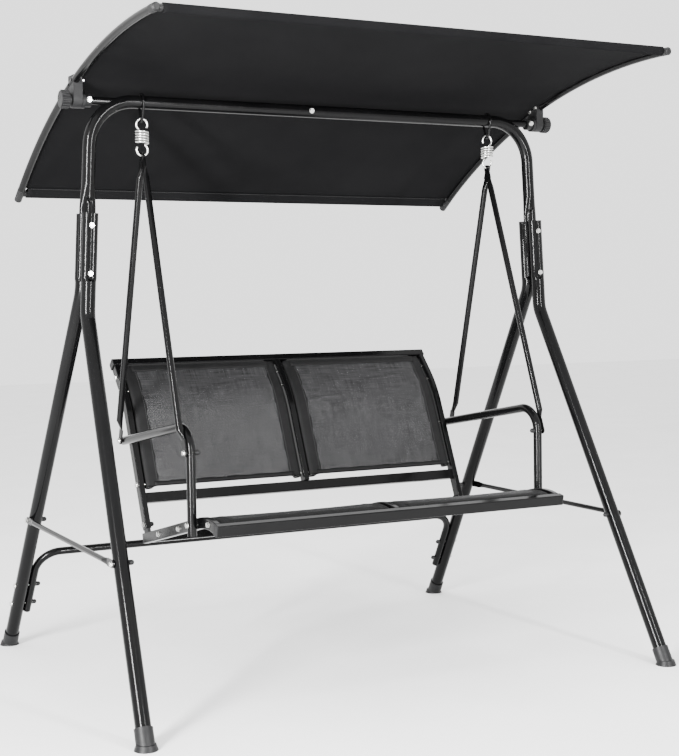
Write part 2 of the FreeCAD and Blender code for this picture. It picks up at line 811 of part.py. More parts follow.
def curved_sheet(half_width, first, last, thick):
    """A band of the canopy's arc, as wide as the canopy."""
    middle = (first + last) / 2
    outer = [arc_point(-half_width, angle, sheet.canopy_radius + thick) for angle in (first, middle, last)]
    inner = [arc_point(-half_width, angle, sheet.canopy_radius - thick) for angle in (last, middle, first)]
    edges = [
        Part.Arc(*outer).toShape(),
        Part.LineSegment(outer[2], inner[0]).toShape(),
        Part.Arc(*inner).toShape(),
        Part.LineSegment(inner[2], outer[0]).toShape(),
    ]
    return shape(Part.Face(Part.Wire(edges)).extrude(ACROSS * (2 * half_width)))


# ---------------------------------------------------------------- hanger rings and springs

def make_rings():
    """Closed wire loops over the bar; the springs' upper hooks hang in them."""
    top_radius = sheet.bar_radius + sheet.ring_wire + sheet.ring_gap
    low_radius = sheet.ring_bottom_radius
    low_height = sheet.swing_height - sheet.spring_wire - sheet.ring_wire - 0.35 + low_radius
    tilt = asin((top_radius - low_radius) / (sheet.bar_height - low_height))
    for side, hand in ((-1, "left"), (1, "right")):
        x = side * sheet.hanger_x
        top = at(x, 0, sheet.bar_height)
        low = at(x, 0, low_height)
        side_of = [Vector(0, sign * cos(tilt), -sin(tilt)) for sign in (-1, 1)]
        front_high, rear_high = [top + way * top_radius for way in side_of]
        front_low, rear_low = [low + way * low_radius for way in side_of]
        path = Part.Wire([
            Part.Arc(front_high, top + UP * top_radius, rear_high).toShape(),
            Part.LineSegment(rear_high, rear_low).toShape(),
            Part.Arc(rear_low, low - UP * low_radius, front_low).toShape(),
            Part.LineSegment(front_low, front_high).toShape(),
        ])
        node(f"hanger_ring_{hand}", round_sweep(path, "Sizes.ring_wire"))


def spring(side):
    """Extension spring: a coil with a round hook at each end, in the plane of X and Z."""
    radius = sheet.spring_radius
    centre_top = at(side * sheet.hanger_x, 0, sheet.swing_height - radius)
    centre_low = centre_top - UP * (sheet.spring_length - 2 * radius)
    coil_low = centre_low.z + radius
    coil_high = centre_top.z - radius
    pitch = (coil_high - coil_low) / sheet.spring_turns
    helix = Part.makeHelix(pitch, coil_high - coil_low, radius)
    helix.translate(Vector(centre_low.x, centre_low.y, coil_low))
    coil = swept(Part.Wire(helix.Edges), wire_section(helix, sheet.spring_wire))
    coil.Frenet = True
    pieces = [coil]
    turns_end = 1 if sheet.spring_turns % 1 == 0 else -1
    ends = ((centre_low, coil_low, -1, 1), (centre_top, coil_high, 1, turns_end))
    for centre, level, way, start_side in ends:
        elbow = Vector(centre.x + start_side * radius, centre.y, level)
        shoulder = Vector(elbow.x, elbow.y, centre.z)
        tip = centre + Vector(-start_side * radius * cos(radians(35)), 0, -way * radius * sin(radians(35)))
        bend = centre + UP * (way * radius)
        straight = Part.LineSegment(elbow, shoulder).toShape()
        path = Part.Wire([straight, Part.Arc(shoulder, bend, tip).toShape()])
        pieces.append(round_sweep(path, "Sizes.spring_wire"))
        pieces.append(primitive("Sphere", Placement(elbow, Rotation()), Radius="Sizes.spring_wire"))
    return fuse(*pieces)


def wire_section(path, radius):
    start, tangent = start_of(path)
    return primitive("Circle", Placement(start, facing(tangent)), Radius=str(radius))


# ---------------------------------------------------------------- the seat's frame

def make_hangers():
    """Two flat-ended tubes per side, from the spring's lower hook to the armrest."""
    spring_bottom = sheet.swing_height - sheet.spring_length
    hole_height = spring_bottom + sheet.spring_wire - sheet.hanger_hole_radius + 0.9
    outside = sheet.arm_x + sheet.arm_radius + sheet.hanger_gap + sheet.tab_thick / 2
    ends = {
        "front": (sheet.post_y, sheet.arm_bolt_height, sheet.hanger_x - sheet.tab_thick / 2 - 0.15),
        "rear": (sheet.arm_rear_y, sheet.arm_rear_height, sheet.hanger_x + sheet.tab_thick / 2 + 0.15),
    }
    for side, hand in ((-1, "left"), (1, "right")):
        for which, (y, height, top_x) in ends.items():
            low = at(side * outside, y, height)
            high = at(side * top_x, 0, hole_height)
            aside = -side * (sheet.hanger_radius - sheet.tab_thick / 2)
            solid = flat_ended_tube(low, high, "Sizes.hanger_radius", "Sizes.hanger_tab_radius",
                                    sheet.hanger_tab_length, 24, aside)
            eye = hole(high, ACROSS, 20, "Sizes.hanger_hole_radius")
            node(f"{which}_hanger_{hand}", cut(solid, hole(low, ACROSS, 20), eye))


def arm_path(side):
    x = side * sheet.arm_x
    rise = (sheet.arm_rear_y - sheet.post_y) * tan(radians(sheet.arm_slope))
    tip = at(x, sheet.arm_rear_y, sheet.arm_rear_height)
    corner = at(x, sheet.post_y, sheet.arm_rear_height + rise)
    bottom = at(x, sheet.post_y, sheet.post_bottom)
    return tip, corner, bottom


def make_armrests():
    """One bent tube per side: the armrest, its front bend and the front post."""
    for side, hand in ((-1, "left"), (1, "right")):
        tip, corner, bottom = arm_path(side)
        start = tip - vector_between(tip, corner) * sheet.arm_overhang
        bent = tube(route([start, corner, bottom], sheet.arm_bend), "Sizes.arm_radius")
        post = at(side * sheet.arm_x, sheet.post_y, 0)
        holes = [hole(tip, ACROSS, 40), hole(post + UP * sheet.arm_bolt_height, ACROSS, 40),
                 hole(post + UP * sheet.post_bolt_height, ACROSS, 40)]
        node(f"armrest_{hand}", cut(bent, *holes))


def back_points(x, lift=0):
    """Centre line of the back frame at x, from the bottom up."""
    start = at(x, sheet.back_bottom_y, sheet.back_bottom_height)
    bend = at(x, sheet.back_bend_y, sheet.back_bend_height)
    tilt = radians(sheet.back_top_angle)
    end = bend + Vector(0, sin(tilt), cos(tilt)) * top_length()
    return start, bend, end


def top_length():
    return (sheet.back_top_y - sheet.back_bend_y) / sin(radians(sheet.back_top_angle))


def seat_points(x):
    """Centre line of the seat frame at x, from the rear forward."""
    slope = tan(radians(sheet.seat_slope))
    start = at(x, sheet.seat_rear_y, sheet.seat_rear_height)
    crown = at(x, sheet.seat_crown_y, sheet.seat_crown_height)
    drop = (sheet.seat_crown_y - sheet.seat_front_y) * slope
    end = at(x, sheet.seat_front_y, sheet.seat_crown_height - drop)
    return start, crown, end


def shortened(points, from_start, from_end):
    """The same centre line with its two ends drawn in."""
    start, bend, end = points
    first = start + vector_between(start, bend) * from_start
    last = end + vector_between(end, bend) * from_end
    return [first, bend, last]


def side_rail_x():
    return sheet.rail_outer_x - sheet.rail_width / 2


def rod_places():
    """The four sling rods across the seat: beside the side rails and the centre rail."""
    outer = sheet.rail_outer_x - sheet.rail_width - sheet.rod_gap - sheet.rod_radius
    inner = sheet.rail_width / 2 + sheet.rod_gap + sheet.rod_radius
    return (-outer, -inner, inner, outer)


def cross_rail(centre, along, half_length, wide, deep, wall):
    """A straight rail along X whose section's width lies along the frame."""
    start = centre - ACROSS * half_length
    path = Part.Wire([Part.LineSegment(start, centre + ACROSS * half_length).toShape()])
    return rail(path, along, wide, deep, wall)


def along_back(distance, x=0):
    start, bend, end = back_points(x)
    return start + vector_between(start, bend) * distance


def point_on(path, distance):
    """Point and direction at a distance along a wire of runs and arcs."""
    for edge in path.Edges:
        if distance <= edge.Length:
            parameter = edge.getParameterByLength(distance)
            return edge.valueAt(parameter), edge.tangentAt(parameter)
        distance -= edge.Length
    last = path.Edges[-1]
    return last.valueAt(last.LastParameter), last.tangentAt(last.LastParameter)


BACK = {"points": back_points, "bend": sheet.back_bend, "bolts": (116, 372, 420)}
SEAT = {"points": seat_points, "bend": sheet.seat_bend, "bolts": (114, 250, 436)}


def frame_route(frame, x, from_start=0, from_end=0):
    return route(shortened(frame["points"](x), from_start, from_end), frame["bend"])


def bolt_places(frame, x):
    """Where the bolts through a side rail and its sling rod lie."""
    path = frame_route(frame, x)
    return [point_on(path, distance)[0] for distance in frame["bolts"]]


def rod_holes(frame, x):
    """Drills through a rod: at its own bolts and at the armrest's bolt."""
    arm = at(x, sheet.arm_rear_y, sheet.arm_rear_height)
    post = at(x, sheet.post_y, sheet.post_bolt_height)
    return [hole(place, ACROSS, 40) for place in bolt_places(frame, x) + [arm if frame is BACK else post]]


def make_seat_and_back_rails():
    wide, deep = sheet.rail_width, sheet.rail_depth
    end_wide = sheet.end_rail_width
    for side, hand in ((-1, "left"), (1, "right")):
        x = side * side_rail_x()
        path = frame_route(BACK, x, 0, end_wide + 0.2)
        back = cut(rail(path, ACROSS, wide, deep, sheet.wall), *rod_holes(BACK, x),
                   hole(along_back(12, x), ACROSS, 40))
        node(f"back_rail_{hand}", back)
        path = frame_route(SEAT, x, 0, end_wide + 0.2)
        seat = cut(rail(path, ACROSS, wide, deep, sheet.wall), *rod_holes(SEAT, x), connector_slot(x))
        node(f"seat_rail_{hand}", seat)

    inside = sheet.rail_outer_x - wide - 0.2
    for name, frame in (("back", BACK), ("seat", SEAT)):
        start, bend, end = frame["points"](0)
        direction = vector_between(bend, end)
        centre = end - direction * (end_wide / 2)
        last_name = "back_top_rail" if name == "back" else "seat_front_rail"
        wall = sheet.top_rail_wall if name == "back" else sheet.front_rail_wall
        node(last_name, cross_rail(centre, direction, sheet.rail_outer_x, end_wide, deep, wall))
    low = along_back(sheet.lower_rail_along)
    up_back = vector_between(*back_points(0)[:2])
    node("back_lower_rail", cross_rail(low, up_back, inside, deep, wide, sheet.top_rail_wall))
    start, bend, end = seat_points(0)
    low_seat = start + vector_between(start, bend) * 24
    node("seat_rear_rail", cross_rail(low_seat, vector_between(start, bend), inside, wide, deep, sheet.wall))

    path = frame_route(BACK, 0, sheet.lower_rail_along + deep / 2 + 0.2, end_wide + 0.2)
    centre_holes = [hole(place, ACROSS, 90) for place in bolt_places(BACK, 0)]
    node("back_centre_rail", cut(rail(path, ACROSS, wide, deep, sheet.wall), *centre_holes))
    path = frame_route(SEAT, 0, 24 + wide / 2 + 0.2, end_wide + 0.2)
    centre_holes = [hole(place, ACROSS, 90) for place in bolt_places(SEAT, 0)]
    node("seat_centre_rail", cut(rail(path, ACROSS, wide, deep, sheet.wall), *centre_holes))


# ---------------------------------------------------------------- slings

def sling_path(frame, x):
    if frame is BACK:
        from_start = sheet.lower_rail_along + sheet.rail_depth / 2 + 12
        return frame_route(frame, x, from_start, sheet.end_rail_width + 4)
    return frame_route(frame, x, 40, sheet.end_rail_width + 4)


def make_slings():
    """Mesh panels, each with its two side sleeves drawn over a pair of rods."""
    for name, frame in (("back", BACK), ("seat", SEAT)):
        rods = []
        for x in rod_places():
            rods.append(cut(tube(sling_path(frame, x), "Sizes.rod_radius"), *rod_holes(frame, x)))
        node(f"{name}_sling_rods", group(rods))
        places = rod_places()
        for hand, pair in (("left", places[:2]), ("right", places[2:])):
            node(f"{name}_sling_{hand}", sling(frame, pair))


def sling(frame, pair):
    middle = sum(pair) / 2
    outer = f"Sizes.rod_radius + {sheet.sling_thick}"
    path = sling_path(frame, middle)
    start, tangent = start_of(path)
    upward = tangent.cross(ACROSS).normalize()
    if upward.z < 0:
        upward = upward * -1
    lift = upward * (sheet.rod_radius + sheet.sling_thick / 2)
    half = abs(pair[1] - pair[0]) / 2
    corners = [start + lift + ACROSS * (sx * half) + upward * (sy * sheet.sling_thick / 2)
               for sx, sy in ((1, 1), (-1, 1), (-1, -1), (1, -1))]
    panel = swept(path, shape(Part.makePolygon(corners + corners[:1])))
    sleeves = [round_sweep(sling_path(frame, x), outer) for x in pair]
    bores = [round_sweep(sling_path(frame, x), "Sizes.rod_radius + 0.05") for x in pair]
    holes = [drill for x in pair for drill in rod_holes(frame, x)]
    return cut(fuse(panel, *sleeves), *bores, *holes)


# ---------------------------------------------------------------- joints of the seat's frame

def connector_legs(x, spare):
    """Two straight legs of a corner connector: up the back rail, forward in the seat rail."""
    wide = sheet.rail_width - 2 * sheet.wall - 0.6 + spare
    deep = sheet.rail_depth - 2 * sheet.wall - 0.8 + spare
    back_start, back_bend, _ = back_points(x)
    seat_start, seat_crown, _ = seat_points(x)
    up = vector_between(back_start, back_bend)
    forward = vector_between(seat_start, seat_crown)
    legs = []
    for start, direction, before, after in ((back_start, up, 20, 34), (seat_start, forward, -6, 60)):
        first = start - direction * before
        path = Part.Wire([Part.LineSegment(first, start + direction * after).toShape()])
        legs.append(rail(path, ACROSS, wide, deep))
    return legs


def connector_slot(x):
    """The opening in the seat rail that lets the connector's upright leg in."""
    return connector_legs(x, 0.6)[0]


def make_connectors():
    solids = []
    for side in (-1, 1):
        x = side * side_rail_x()
        solids.append(cut(fuse(*connector_legs(x, 0)), hole(along_back(12, x), ACROSS, 40)))
    node("corner_connectors", group(solids))

    caps = []
    for side in (-1, 1):
        x = side * side_rail_x()
        start, crown, _ = seat_points(x)
        forward = vector_between(start, crown)
        first = start - forward * 3
        path = Part.Wire([Part.LineSegment(first, start - forward * 0.1).toShape()])
        caps.append(rail(path, ACROSS, sheet.rail_width, sheet.rail_depth))
        for frame in (BACK, SEAT):
            _, bend, end = frame["points"](0)
            direction = vector_between(bend, end)
            middle = end - direction * (sheet.end_rail_width / 2)
            first = middle + ACROSS * (side * (sheet.rail_outer_x + 0.1))
            path = Part.Wire([Part.LineSegment(first, first + ACROSS * (side * 2.5)).toShape()])
            caps.append(rail(path, direction, sheet.end_rail_width, sheet.rail_depth))
    node("rail_end_caps", group(caps))


def make_seat_fasteners():
    """Bolts from the outer sides, domed nuts on the inner sides."""
    bolts = []
    nuts = []
    rail_inner = sheet.rail_outer_x - sheet.rail_width
    rod_inner = rail_inner - sheet.rod_gap - 2 * sheet.rod_radius - sheet.sling_thick
    hanger_outer = sheet.arm_x + sheet.arm_radius + sheet.hanger_gap + sheet.tab_thick + sheet.seating_gap
    post_outer = sheet.arm_x + sheet.arm_radius
    rows = [(sheet.rail_outer_x, rod_inner, bolt_places(BACK, 0) + bolt_places(SEAT, 0)),
            (hanger_outer, rod_inner, [at(0, sheet.arm_rear_y, sheet.arm_rear_height)]),
            (hanger_outer, sheet.arm_x - sheet.arm_radius, [at(0, sheet.post_y, sheet.arm_bolt_height)]),
            (post_outer, rod_inner, [at(0, sheet.post_y, sheet.post_bolt_height)]),
            (sheet.rail_outer_x, rail_inner, [along_back(12)])]
    for side in (-1, 1):
        inward = ACROSS * -side
        for outer_x, inner_x, places in rows:
            for place in places:
                head = Vector(side * outer_x, place.y, place.z)
                bolts.append(bolt(head, inward, outer_x - inner_x + 7))
                nuts.append(cap_nut(Vector(side * inner_x, place.y, place.z), inward))
    reach = sheet.rail_width / 2 + sheet.rod_gap + 2 * sheet.rod_radius + sheet.sling_thick
    for place in bolt_places(BACK, 0) + bolt_places(SEAT, 0):
        bolts.append(bolt(place - ACROSS * reach, ACROSS, 2 * reach + 7))
        nuts.append(cap_nut(place + ACROSS * reach, ACROSS))
    node("seat_bolts", group(bolts))
    node("seat_cap_nuts", group(nuts))


# ---------------------------------------------------------------- make, check, write

make_side_frames()
make_top_bar()
make_column_fasteners()
make_braces()
make_stretcher()
make_frame_fasteners()
make_canopy_mounts()
for hand_side, hand_name in ((-1, "left"), (1, "right")):
    node(f"tilt_knob_{hand_name}", knob(hand_side))
    node(f"spring_{hand_name}", spring(hand_side))
make_rings()
make_canopy()
make_hangers()
make_armrests()
make_seat_and_back_rails()
make_slings()
make_connectors()
make_seat_fasteners()

doc.recompute()

faults = [item.Label for item in doc.Objects if "Invalid" in item.State or "Error" in item.State]
for item in nodes:
    if item.Shape.isNull() or not item.Shape.isValid() or not item.Shape.Solids:
        faults.append(item.Label)
if faults:
    raise RuntimeError("objects that failed: " + ", ".join(faults))

os.makedirs("parts", exist_ok=True)
for item in nodes:
    item.Shape.exportStep(os.path.join("parts", item.Label + ".step"))
print(len(nodes), "sub-parts written")
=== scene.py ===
import json
import math

import bpy
from mathutils import Matrix, Vector


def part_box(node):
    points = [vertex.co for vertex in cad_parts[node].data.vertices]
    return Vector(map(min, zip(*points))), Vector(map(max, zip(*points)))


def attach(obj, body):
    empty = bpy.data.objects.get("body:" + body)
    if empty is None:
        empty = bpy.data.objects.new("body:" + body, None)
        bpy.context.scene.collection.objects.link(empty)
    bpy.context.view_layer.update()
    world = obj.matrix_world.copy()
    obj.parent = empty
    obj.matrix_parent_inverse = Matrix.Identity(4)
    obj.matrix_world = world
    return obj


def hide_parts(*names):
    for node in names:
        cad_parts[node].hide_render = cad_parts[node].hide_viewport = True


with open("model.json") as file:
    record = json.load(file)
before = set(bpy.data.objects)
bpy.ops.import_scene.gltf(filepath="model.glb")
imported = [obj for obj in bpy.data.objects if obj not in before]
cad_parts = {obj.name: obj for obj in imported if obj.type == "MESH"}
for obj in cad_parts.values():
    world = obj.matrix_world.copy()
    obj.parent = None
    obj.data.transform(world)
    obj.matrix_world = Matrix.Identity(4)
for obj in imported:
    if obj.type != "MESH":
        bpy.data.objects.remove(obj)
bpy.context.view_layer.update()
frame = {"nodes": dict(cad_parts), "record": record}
MM = 0.001


# ---------------------------------------------------------------- materials

class Nodes:
    """Builds one procedural material; patterns follow object coordinates or the UV map, in metres."""

    def __init__(self, name):
        self.material = bpy.data.materials.new(name)
        self.material.use_nodes = True
        self.tree = self.material.node_tree
        self.shader = self.tree.nodes["Principled BSDF"]
        self.place = self.tree.nodes.new("ShaderNodeTexCoord").outputs["Object"]

    def feed(self, socket, value):
        """Sets a socket to a constant, or links another socket to it."""
        if isinstance(value, bpy.types.NodeSocket):
            self.tree.links.new(value, socket)
        else:
            socket.default_value = value

    def add(self, kind, **inputs):
        node = self.tree.nodes.new("ShaderNode" + kind)
        for name, value in inputs.items():
            self.feed(node.inputs[name.replace("_", " ")], value)
        return node

    def uv(self):
        return self.tree.nodes.new("ShaderNodeTexCoord").outputs["UV"]

    def noise(self, scale, detail=3.0, roughness=0.55):
        node = self.add("TexNoise", Vector=self.place, Scale=scale, Detail=detail, Roughness=roughness)
        return node.outputs["Fac"]

    def ramp(self, source, stops):
        """Colours or grey levels at positions along a 0 to 1 source."""
        node = self.add("ValToRGB", Fac=source)
        elements = node.color_ramp.elements
        while len(elements) < len(stops):
            elements.new(0.5)
        for element, (position, colour) in zip(elements, stops):
            levels = colour if isinstance(colour, tuple) else (colour, colour, colour)
            element.position = position
            element.color = (*levels, 1.0)
        return node.outputs["Color"]

    def math(self, operation, first, second=0.0):
        node = self.tree.nodes.new("ShaderNodeMath")
        node.operation = operation
        self.feed(node.inputs[0], first)
        self.feed(node.inputs[1], second)
        return node.outputs[0]

    def bump(self, height, strength, distance):
        node = self.add("Bump", Height=height, Strength=strength, Distance=distance)
        self.feed(self.shader.inputs["Normal"], node.outputs["Normal"])

    def set(self, **inputs):
        for name, value in inputs.items():
            self.feed(self.shader.inputs[name.replace("_", " ")], value)


def powder_coat():
    """Semi-gloss black coat: orange peel, slight cloudiness, faint handling marks."""
    n = Nodes("black_coated_steel")
    cloud = n.noise(9.0, 4.0)
    base = n.ramp(cloud, ((0.3, (0.0014, 0.0014, 0.0015)), (0.7, (0.0024, 0.0024, 0.0025))))
    marks = n.ramp(n.noise(55.0, 6.0, 0.7), ((0.35, 0.12), (0.55, 0.16), (0.75, 0.26)))
    n.set(Base_Color=base, Roughness=marks, IOR=1.5, Specular_IOR_Level=0.13)
    peel = n.math("ADD", n.noise(520.0, 2.0), n.math("MULTIPLY", n.noise(1500.0, 2.0), 0.2))
    n.bump(peel, 0.05, 0.0003)
    return n.material


def zinc(name, colour, rough_low, rough_high):
    """Bright plating with spangle, faint stains and fine drawn scratches."""
    n = Nodes(name)
    spangle = n.add("TexVoronoi", Vector=n.place, Scale=700.0).outputs["Color"]
    stains = n.noise(120.0, 4.0)
    tone = n.ramp(stains, ((0.25, tuple(0.72 * c for c in colour)), (0.7, colour)))
    rough = n.ramp(n.noise(420.0, 3.0), ((0.3, rough_low), (0.75, rough_high)))
    n.set(Base_Color=tone, Metallic=1.0, Roughness=rough)
    height = n.math("ADD", n.math("MULTIPLY", spangle, 0.4), n.noise(1900.0, 2.0))
    n.bump(height, 0.14, 0.0002)
    return n.material


def plastic():
    """Moulded black plastic: fine grain, flow marks and uneven gloss."""
    n = Nodes("black_plastic")
    base = n.ramp(n.noise(26.0, 4.0), ((0.3, (0.004, 0.004, 0.0043)), (0.7, (0.008, 0.008, 0.0084))))
    gloss = n.ramp(n.noise(90.0, 3.0), ((0.3, 0.4), (0.7, 0.55)))
    n.set(Base_Color=base, Roughness=gloss, Specular_IOR_Level=0.2)
    n.bump(n.noise(2600.0, 2.0), 0.22, 0.0003)
    return n.material


def threads(n, along, pitch):
    """0 to 1 across each thread of a weave, from one coordinate in metres."""
    turn = n.math("MULTIPLY", along, 2 * math.pi / pitch)
    return n.math("MULTIPLY", n.math("ADD", n.math("SINE", turn), 1.0), 0.5)


def woven(n, uv, pitch):
    """Warp and weft heights of a plain weave, laid out by the piece's UV map in metres."""
    split = n.add("SeparateXYZ", Vector=uv)
    return threads(n, split.outputs[0], pitch), threads(n, split.outputs[1], pitch)


def streaks(n, uv, scale):
    """Uneven yarn: noise drawn out along one direction of the weave."""
    stretched = n.add("Mapping", Vector=uv, Scale=scale).outputs[0]
    return n.add("TexNoise", Vector=stretched, Scale=1.0, Detail=2.0, Roughness=0.6).outputs["Fac"]


def canopy_material():
    """Tight black polyester: fine plain weave, dull, with faint creases."""
    n = Nodes("canopy_cloth")
    warp, weft = woven(n, n.uv(), 1.1 * MM)
    weave = n.math("MAXIMUM", warp, weft)
    cloud = n.noise(5.0, 5.0)
    base = n.ramp(cloud, ((0.3, (0.0036, 0.0036, 0.0039)), (0.7, (0.0052, 0.0052, 0.0055))))
    n.set(Base_Color=base, Roughness=0.9, Specular_IOR_Level=0.03)
    creases = n.add("TexNoise", Vector=n.place, Scale=7.0, Detail=4.0, Distortion=0.6).outputs["Fac"]
    height = n.math("ADD", n.math("MULTIPLY", weave, 0.35), n.math("MULTIPLY", creases, 3.0))
    n.bump(height, 0.25, 0.0006)
    return n.material


def binding_material():
    """Dense black cloth of the sleeves and hems, with the bumps of the seam under it."""
    n = Nodes("sling_binding")
    warp, weft = woven(n, n.uv(), 1.3 * MM)
    base = n.ramp(n.noise(30.0, 4.0), ((0.3, (0.0018, 0.0018, 0.0019)), (0.7, (0.0034, 0.0034, 0.0036))))
    n.set(Base_Color=base, Roughness=0.62, Specular_IOR_Level=0.15)
    height = n.math("ADD", n.math("MAXIMUM", warp, weft), n.math("MULTIPLY", n.noise(48.0, 3.0), 5.0))
    n.bump(height, 0.35, 0.0006)
    return n.material


def thread_material():
    """Black sewing thread, a little paler than the cloth it holds."""
    n = Nodes("black_thread")
    base = n.ramp(n.noise(800.0, 2.0), ((0.3, (0.012, 0.012, 0.012)), (0.7, (0.03, 0.03, 0.03))))
    n.set(Base_Color=base, Roughness=0.7)
    n.bump(n.noise(2500.0, 2.0), 0.4, 0.0003)
    return n.material


def mesh_material():
    """Coated mesh: pale and dark strands crossing, with open holes between them."""
    n = Nodes("sling_mesh")
    uv = n.uv()
    warp, weft = woven(n, uv, 1.6 * MM)
    strand = n.math("MAXIMUM", warp, weft)
    slubs = n.math("ADD", streaks(n, uv, (330.0, 14.0, 1.0)), streaks(n, uv, (14.0, 330.0, 1.0)))
    streak = n.math("MULTIPLY", slubs, 0.5)
    colour = n.ramp(streak, ((0.36, (0.004, 0.004, 0.0042)), (0.64, (0.032, 0.032, 0.033))))
    n.set(Base_Color=colour, Roughness=0.5, Specular_IOR_Level=0.15)
    hole = n.ramp(strand, ((0.28, 1.0), (0.36, 0.0)))
    n.set(Alpha=n.math("SUBTRACT", 1.0, n.math("MULTIPLY", hole, 0.9)))
    n.bump(strand, 0.5, 0.0004)
    return n.material


COAT = powder_coat()
ZINC = zinc("zinc_steel", (0.74, 0.74, 0.72), 0.2, 0.36)
PLASTIC = plastic()
CLOTH = canopy_material()
MESH = mesh_material()
THREAD = thread_material()
BINDING = binding_material()
BY_SLOT = {
    "black_coated_steel": COAT,
    "zinc_steel": ZINC,
    "black_plastic": PLASTIC,
    "canopy_cloth": CLOTH,
    "sling_mesh": MESH,
}

SHARP_ANGLE = math.radians(38)

slot_of = {entry["node"]: entry["material_slot"] for entry in frame["record"]["subparts"]}
for name, node in frame["nodes"].items():
    node.data.materials.clear()
    node.data.materials.append(BY_SLOT[slot_of[name]])
    for face in node.data.polygons:
        face.use_smooth = True
    node.data.set_sharp_from_angle(angle=SHARP_ANGLE)


# ---------------------------------------------------------------- soft sheets

STITCH_PITCH = 6 * MM
STITCH_LENGTH = 3.6 * MM
THREAD_RADIUS = 0.45 * MM
THREAD_SIDES = 5


def link_object(name, mesh):
    piece = bpy.data.objects.new(name, mesh)
    bpy.context.scene.collection.objects.link(piece)
    return piece


def new_mesh(name, rows, material, uvs=None, closed=False):
    """A smooth mesh from rows of points; each row has the same number, and closed joins its ends."""
    count = len(rows[0])
    points = [point for row in rows for point in row]
    faces = []
    for row in range(len(rows) - 1):
        for column in range(count if closed else count - 1):
            after = (column + 1) % count
            faces.append((row * count + column, row * count + after,
                          (row + 1) * count + after, (row + 1) * count + column))
    mesh = bpy.data.meshes.new(name)
    mesh.from_pydata(points, [], faces)
    mesh.materials.append(material)
    if uvs:
        flat = [uv for row in uvs for uv in row]
        layer = mesh.uv_layers.new(name="metres")
        for loop in mesh.loops:
            layer.data[loop.index].uv = flat[loop.vertex_index]
    for face in mesh.polygons:
        face.use_smooth = True
    return link_object(name, mesh)


def path_length(points):
    return sum((after - before).length for before, after in zip(points, points[1:]))


def thicken(piece, thickness):
    modifier = piece.modifiers.new("thickness", "SOLIDIFY")
    modifier.thickness = thickness
    modifier.offset = 0.0


def add_stitch(points, faces, centre, direction, normal):
    """One stitch: a short thread whose two ends dip into the cloth."""
    across = direction.cross(normal).normalized()
    base = len(points)
    for step, lift in ((-1.0, -0.4), (-0.6, 1.0), (0.6, 1.0), (1.0, -0.4)):
        middle = centre + direction * (step * STITCH_LENGTH / 2) + normal * (THREAD_RADIUS * lift)
        for turn in range(THREAD_SIDES):
            angle = 2 * math.pi * turn / THREAD_SIDES
            points.append(middle + (across * math.cos(angle) + normal * math.sin(angle)) * THREAD_RADIUS)
    for ring in range(3):
        near, far = base + ring * THREAD_SIDES, base + (ring + 1) * THREAD_SIDES
        for turn in range(THREAD_SIDES):
            after = (turn + 1) % THREAD_SIDES
            faces.append((near + turn, near + after, far + after, far + turn))
    faces.append(tuple(base + turn for turn in reversed(range(THREAD_SIDES))))
    faces.append(tuple(base + 3 * THREAD_SIDES + turn for turn in range(THREAD_SIDES)))


def stitches(name, line, normals, body):
    """A row of sewn stitches lying on a surface along a line of points."""
    points, faces = [], []
    travelled = 0.0
    due = STITCH_PITCH / 2
    for start, end, normal in zip(line, line[1:], normals):
        span = (end - start).length
        direction = (end - start).normalized()
        while travelled + span > due:
            add_stitch(points, faces, start + direction * (due - travelled), direction, normal)
            due += STITCH_PITCH
        travelled += span
    mesh = bpy.data.meshes.new(name)
    mesh.from_pydata(points, [], faces)
    mesh.materials.append(THREAD)
    piece = link_object(name, mesh)
    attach(piece, body)
    return piece


# ---------------------------------------------------------------- canopy cloth

ARC_RADIUS = 1765 * MM
TUBE_RADIUS = 8 * MM
HEM_RADIUS = 10.3 * MM
CLOTH_THICK = 0.9 * MM
CLOTH_SAG = 9 * MM
EDGE_PULL = 1.1 * MM
SEAM_FROM_TUBE = 26 * MM
RIB_OVERLAP = 1.2 * MM
HEM_SHORTER = 6 * MM
CANOPY_ROWS = 72
CANOPY_COLUMNS = 110
HEM_STEPS = 11
SEAM_STEPS = 60

low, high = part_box("canopy_cross_tubes")
FRONT_TUBE = Vector((low.y + TUBE_RADIUS, high.z - TUBE_RADIUS))
REAR_TUBE = Vector((high.y - TUBE_RADIUS, low.z + TUBE_RADIUS))
RIB_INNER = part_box("canopy_rib_right")[0].x


def arc_centre():
    """Centre of the ribs' arc, which passes through both cross tubes, in the plane of Y and Z."""
    chord = REAR_TUBE - FRONT_TUBE
    down = Vector((chord.y, -chord.x)).normalized()
    return (FRONT_TUBE + REAR_TUBE) / 2 + down * math.sqrt(ARC_RADIUS ** 2 - (chord.length / 2) ** 2)


CENTRE = arc_centre()


def angle_of(tube):
    return math.atan2(tube.x - CENTRE.x, tube.y - CENTRE.y)


FRONT_ANGLE = angle_of(FRONT_TUBE)
REAR_ANGLE = angle_of(REAR_TUBE)
SEAM_ANGLE = SEAM_FROM_TUBE / ARC_RADIUS


def canopy_point(x, angle, radius):
    return Vector((x, CENTRE.x + radius * math.sin(angle), CENTRE.y + radius * math.cos(angle)))


def hem_wrap():
    """Round one cross tube, as (angle past the tube, height), from the seam under it to the top."""
    hem = HEM_RADIUS / ARC_RADIUS
    wrap = [(SEAM_ANGLE, -1.4 * MM), (SEAM_ANGLE * 0.8, -2.6 * MM), (hem * 1.5, -5.2 * MM)]
    for step in range(HEM_STEPS):
        turn = math.radians(140 + 22 * step)
        wrap.append((hem * math.sin(turn), HEM_RADIUS * math.cos(turn)))
    wrap += [(hem * 1.2, HEM_RADIUS * 0.62), (hem * 2.0, HEM_RADIUS * 0.2)]
    return wrap


